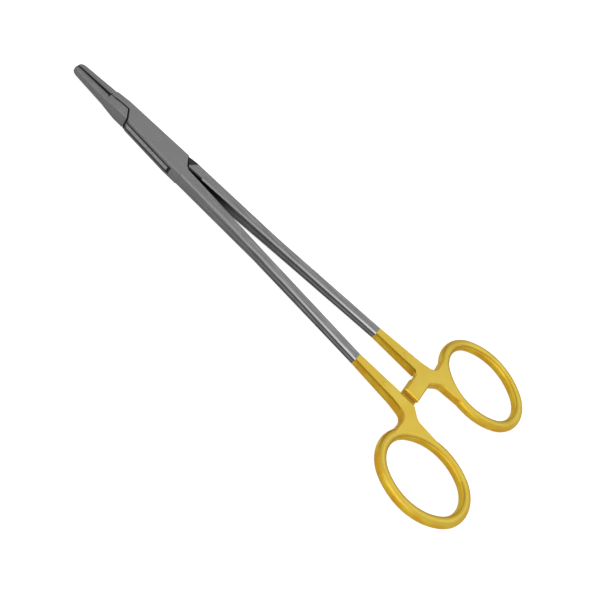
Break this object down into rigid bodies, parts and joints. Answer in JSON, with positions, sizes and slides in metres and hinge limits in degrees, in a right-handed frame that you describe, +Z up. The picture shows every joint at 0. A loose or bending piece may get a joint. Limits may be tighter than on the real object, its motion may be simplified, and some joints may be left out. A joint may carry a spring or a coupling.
{
  "type": "surgical needle holder",
  "caption": "Long slim needle holder with short jaws, carbide jaw inserts, a box lock pivot, a ratchet between the handles and oval finger rings with a gold finish.",
  "frame": {"origin": "on the pivot axis, at the underside of the box lock, where the instrument rests", "axes": "+X along the instrument from the jaws to the finger rings, +Y towards the ring of the male half, +Z up along the pivot axis"},
  "size_m": [0.2, 0.082, 0.0056],
  "materials": {
    "steel": "satin stainless steel, with gold-plated handles from the lower shanks to the rings",
    "carbide": "ground tungsten carbide"
  },
  "bodies": {
    "female_side": {"female_half": "steel", "pivot_pin": "steel", "female_insert": "carbide"},
    "male_side": {"male_half": "steel", "male_insert": "carbide"}
  },
  "joints": [
    {"name": "lock_hinge", "type": "hinge", "parent": "female_side", "child": "male_side", "pos_m": [0, 0, 0.0028], "axis": [0, 0, 1], "range_deg": [0, 45]}
  ]
}
